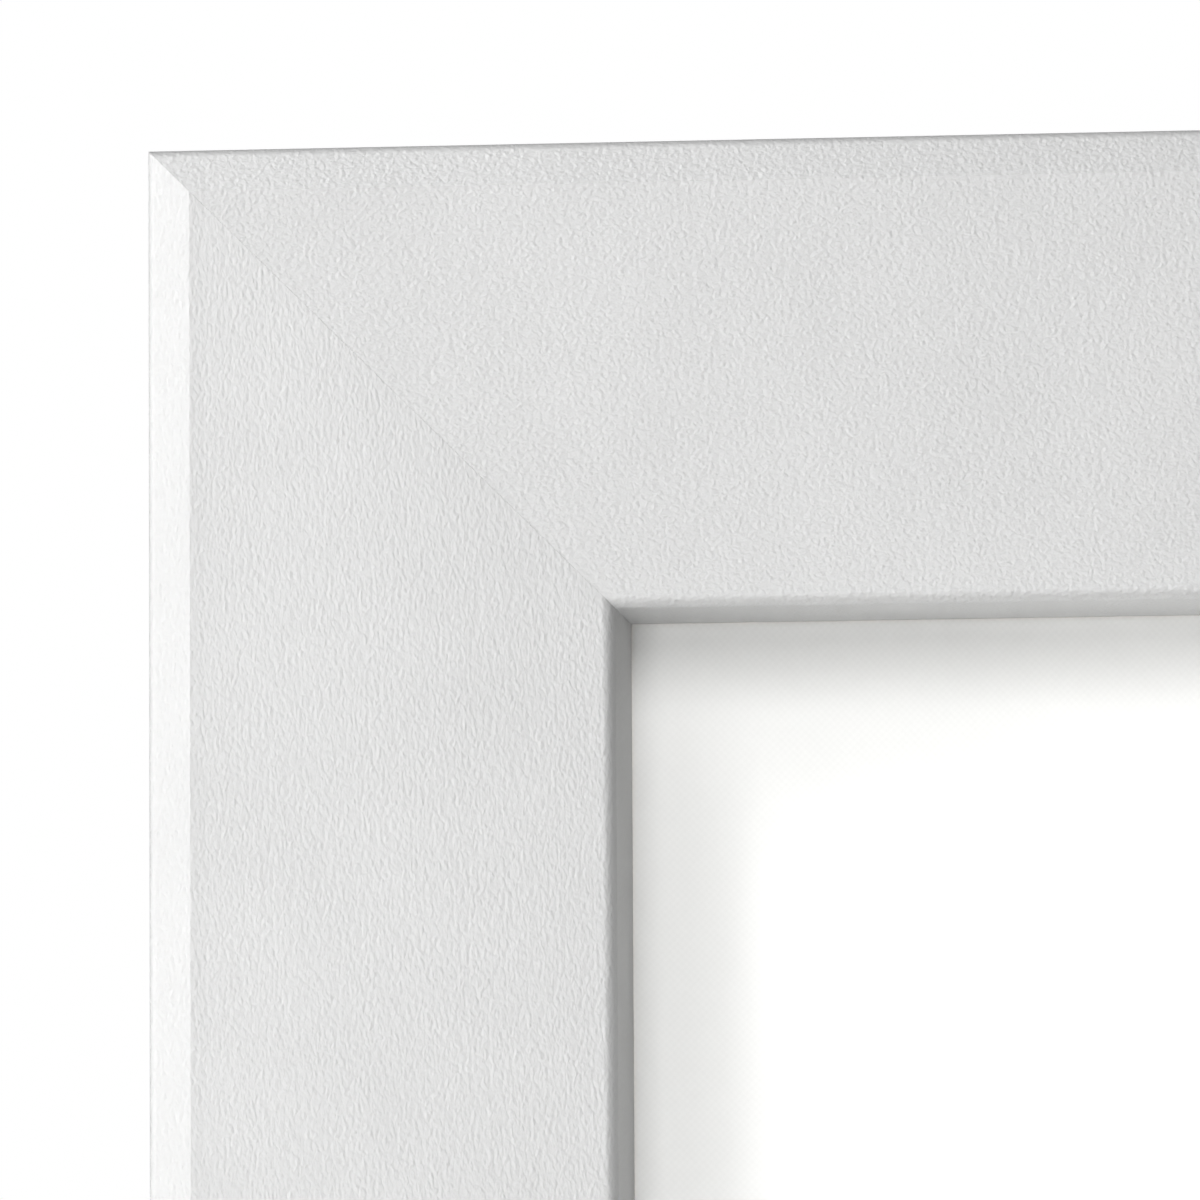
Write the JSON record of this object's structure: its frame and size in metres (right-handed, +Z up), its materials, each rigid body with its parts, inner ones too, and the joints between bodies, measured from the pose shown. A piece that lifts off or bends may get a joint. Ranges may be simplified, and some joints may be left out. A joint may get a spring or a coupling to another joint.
{
  "type": "framed stretched canvas",
  "caption": "Blank stretched canvas on keyed bars in a wide flat white frame with leather-like grain; turn buttons, D-ring hangers and bumpers on the back.",
  "frame": {"origin": "middle of the frame's outline, on the plane of its back", "axes": "+Z up the picture, +X to the right as seen from the front, +Y towards the wall; the picture faces -Y"},
  "size_m": [0.5236, 0.0483, 0.6252],
  "materials": {
    "white_moulding": "satin",
    "primed_canvas": "matte",
    "pine": "matte",
    "key_wood": "matte",
    "bright_steel": "satin",
    "zinc_plate": "satin",
    "bumper_rubber": "satin"
  },
  "bodies": {
    "frame": {"rail_top": "white_moulding", "rail_right": "white_moulding", "rail_bottom": "white_moulding", "rail_left": "white_moulding", "v_nail_top_left": "bright_steel", "v_nail_top_right": "bright_steel", "v_nail_bottom_left": "bright_steel", "v_nail_bottom_right": "bright_steel", "stretcher_top": "pine", "stretcher_right": "pine", "stretcher_bottom": "pine", "stretcher_left": "pine", "canvas": "primed_canvas", "staple_top_1": "bright_steel", "staple_top_2": "bright_steel", "staple_top_3": "bright_steel", "staple_top_4": "bright_steel", "staple_right_1": "bright_steel", "staple_right_2": "bright_steel", "staple_right_3": "bright_steel", "staple_right_4": "bright_steel", "staple_right_5": "bright_steel", "staple_bottom_1": "bright_steel", "staple_bottom_2": "bright_steel", "staple_bottom_3": "bright_steel", "staple_bottom_4": "bright_steel", "staple_left_1": "bright_steel", "staple_left_2": "bright_steel", "staple_left_3": "bright_steel", "staple_left_4": "bright_steel", "staple_left_5": "bright_steel", "turn_screw_top": "bright_steel", "turn_screw_bottom": "bright_steel", "turn_screw_right_upper": "bright_steel", "turn_screw_right_lower": "bright_steel", "turn_screw_left_upper": "bright_steel", "turn_screw_left_lower": "bright_steel", "hanger_strap_left": "zinc_plate", "hanger_screw_left": "bright_steel", "bumper_left": "bumper_rubber", "hanger_strap_right": "zinc_plate", "hanger_screw_right": "bright_steel", "bumper_right": "bumper_rubber"},
    "turn_button_top": {"turn_button_top": "zinc_plate"},
    "turn_button_bottom": {"turn_button_bottom": "zinc_plate"},
    "turn_button_right_upper": {"turn_button_right_upper": "zinc_plate"},
    "turn_button_right_lower": {"turn_button_right_lower": "zinc_plate"},
    "turn_button_left_upper": {"turn_button_left_upper": "zinc_plate"},
    "turn_button_left_lower": {"turn_button_left_lower": "zinc_plate"},
    "hanger_ring_left": {"hanger_ring_left": "zinc_plate"},
    "hanger_ring_right": {"hanger_ring_right": "zinc_plate"},
    "key_top_left_flat": {"key_top_left_flat": "key_wood"},
    "key_top_left_upright": {"key_top_left_upright": "key_wood"},
    "key_top_right_flat": {"key_top_right_flat": "key_wood"},
    "key_top_right_upright": {"key_top_right_upright": "key_wood"},
    "key_bottom_left_flat": {"key_bottom_left_flat": "key_wood"},
    "key_bottom_left_upright": {"key_bottom_left_upright": "key_wood"},
    "key_bottom_right_flat": {"key_bottom_right_flat": "key_wood"},
    "key_bottom_right_upright": {"key_bottom_right_upright": "key_wood"}
  },
  "joints": [
    {"name": "turn_top", "type": "hinge", "parent": "frame", "child": "turn_button_top", "pos_m": [0, 0.0003, 0.2645], "axis": [0, 1, 0], "range_deg": [-90, 90]},
    {"name": "turn_bottom", "type": "hinge", "parent": "frame", "child": "turn_button_bottom", "pos_m": [0, 0.0003, -0.2645], "axis": [0, 1, 0], "range_deg": [-90, 90]},
    {"name": "turn_right_upper", "type": "hinge", "parent": "frame", "child": "turn_button_right_upper", "pos_m": [0.2137, 0.0003, 0.075], "axis": [0, 1, 0], "range_deg": [-90, 90]},
    {"name": "turn_right_lower", "type": "hinge", "parent": "frame", "child": "turn_button_right_lower", "pos_m": [0.2137, 0.0003, -0.075], "axis": [0, 1, 0], "range_deg": [-90, 90]},
    {"name": "turn_left_upper", "type": "hinge", "parent": "frame", "child": "turn_button_left_upper", "pos_m": [-0.2137, 0.0003, 0.075], "axis": [0, 1, 0], "range_deg": [-90, 90]},
    {"name": "turn_left_lower", "type": "hinge", "parent": "frame", "child": "turn_button_left_lower", "pos_m": [-0.2137, 0.0003, -0.075], "axis": [0, 1, 0], "range_deg": [-90, 90]},
    {"name": "ring_left", "type": "hinge", "parent": "frame", "child": "hanger_ring_left", "pos_m": [-0.23325, 0.0025, 0.1226], "axis": [1, 0, 0], "range_deg": [0, 180]},
    {"name": "ring_right", "type": "hinge", "parent": "frame", "child": "hanger_ring_right", "pos_m": [0.23325, 0.0025, 0.1226], "axis": [1, 0, 0], "range_deg": [0, 180]},
    {"name": "pull_top_left_flat", "type": "slide", "parent": "frame", "child": "key_top_left_flat", "axis": [1, 0, 0], "range_m": [0, 0.02]},
    {"name": "pull_top_left_upright", "type": "slide", "parent": "frame", "child": "key_top_left_upright", "axis": [0, 0, -1], "range_m": [0, 0.02]},
    {"name": "pull_top_right_flat", "type": "slide", "parent": "frame", "child": "key_top_right_flat", "axis": [-1, 0, 0], "range_m": [0, 0.02]},
    {"name": "pull_top_right_upright", "type": "slide", "parent": "frame", "child": "key_top_right_upright", "axis": [0, 0, -1], "range_m": [0, 0.02]},
    {"name": "pull_bottom_left_flat", "type": "slide", "parent": "frame", "child": "key_bottom_left_flat", "axis": [1, 0, 0], "range_m": [0, 0.02]},
    {"name": "pull_bottom_left_upright", "type": "slide", "parent": "frame", "child": "key_bottom_left_upright", "axis": [0, 0, 1], "range_m": [0, 0.02]},
    {"name": "pull_bottom_right_flat", "type": "slide", "parent": "frame", "child": "key_bottom_right_flat", "axis": [-1, 0, 0], "range_m": [0, 0.02]},
    {"name": "pull_bottom_right_upright", "type": "slide", "parent": "frame", "child": "key_bottom_right_upright", "axis": [0, 0, 1], "range_m": [0, 0.02]}
  ]
}
